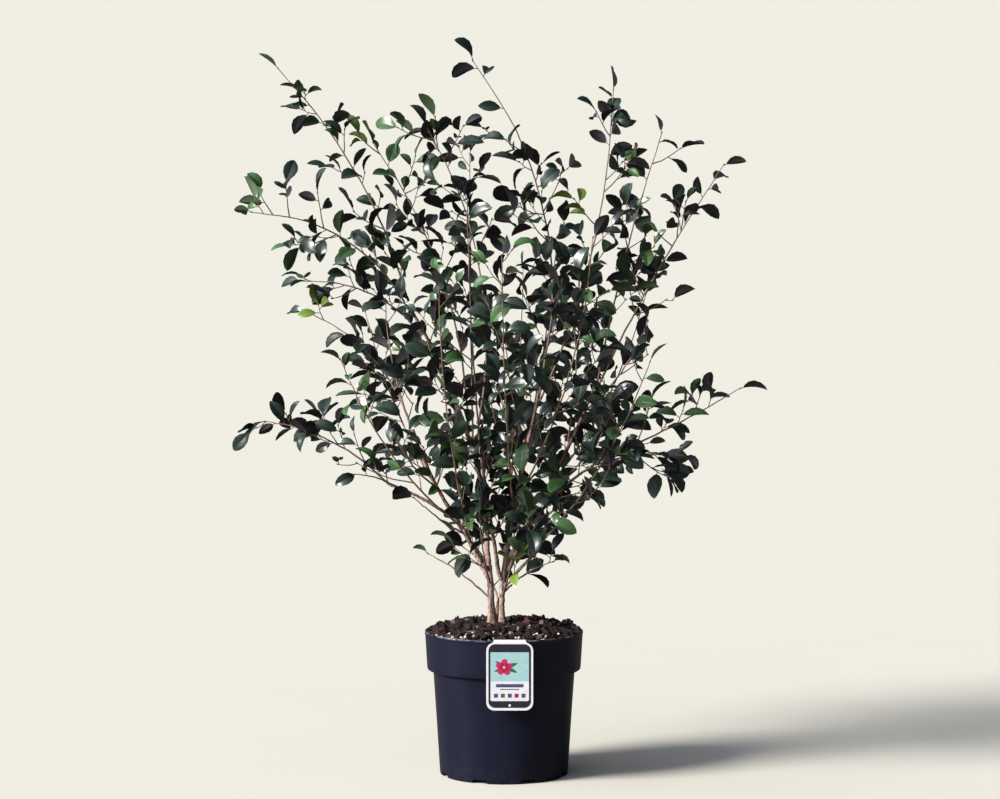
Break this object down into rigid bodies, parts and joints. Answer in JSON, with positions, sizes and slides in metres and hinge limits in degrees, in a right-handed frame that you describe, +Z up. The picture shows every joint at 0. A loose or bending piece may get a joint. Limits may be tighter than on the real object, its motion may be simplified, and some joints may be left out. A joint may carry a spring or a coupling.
{
  "type": "potted camellia shrub",
  "caption": "Evergreen camellia shrub in a round nursery pot, with upright stems, forking boughs, airy glossy foliage and a hanging plant label.",
  "frame": {"origin": "on the ground, in the middle of the pot's flat underside", "axes": "+Z up, -Y towards the side that carries the label, +X to the viewer's right"},
  "size_m": [0.8803, 0.767, 1.2085],
  "materials": {
    "pot_plastic": "dark blue-black, satin",
    "soil": "rough bark and peat compost with white specks",
    "label_card": "printed plastic card",
    "bark": "thin, pinkish tan bark",
    "foliage": "glossy dark green leaves"
  },
  "bodies": {
    "root": {"pot": "pot_plastic", "soil": "soil", "label": "label_card", "stem_left": "bark", "stem_right": "bark", "stem_back": "bark", "bough_left": "bark", "bough_left_high": "bark", "bough_left_low": "bark", "bough_left_side": "bark", "bough_centre": "bark", "bough_centre_left": "bark", "bough_front": "bark", "bough_front_left": "bark", "bough_front_right": "bark", "bough_right": "bark", "bough_right_low": "bark", "bough_back": "bark", "bough_back_left": "bark", "bough_back_right": "bark", "foliage_top_left": "foliage", "foliage_left": "foliage", "foliage_left_upper": "foliage", "foliage_left_mid": "foliage", "foliage_left_inner": "foliage", "foliage_left_front": "foliage", "foliage_left_side": "foliage", "foliage_left_under": "foliage", "foliage_crown_left": "foliage", "foliage_crown_back": "foliage", "foliage_top": "foliage", "foliage_top_right": "foliage", "foliage_crown_middle": "foliage", "foliage_crown_front": "foliage", "foliage_heart": "foliage", "foliage_heart_front": "foliage", "foliage_heart_right": "foliage", "foliage_front": "foliage", "foliage_front_upper": "foliage", "foliage_front_left": "foliage", "foliage_front_left_upper": "foliage", "foliage_front_low": "foliage", "foliage_front_right": "foliage", "foliage_right_upper": "foliage", "foliage_right": "foliage", "foliage_right_mid": "foliage", "foliage_right_inner": "foliage", "foliage_right_side": "foliage", "foliage_right_under": "foliage", "foliage_right_low": "foliage", "foliage_back": "foliage", "foliage_back_upper": "foliage", "foliage_back_left": "foliage", "foliage_back_right": "foliage", "foliage_foot_left": "foliage", "foliage_foot_right": "foliage", "foliage_low_front": "foliage", "foliage_low_front_right": "foliage", "foliage_low_left": "foliage", "foliage_low_back": "foliage"}
  },
  "joints": []
}
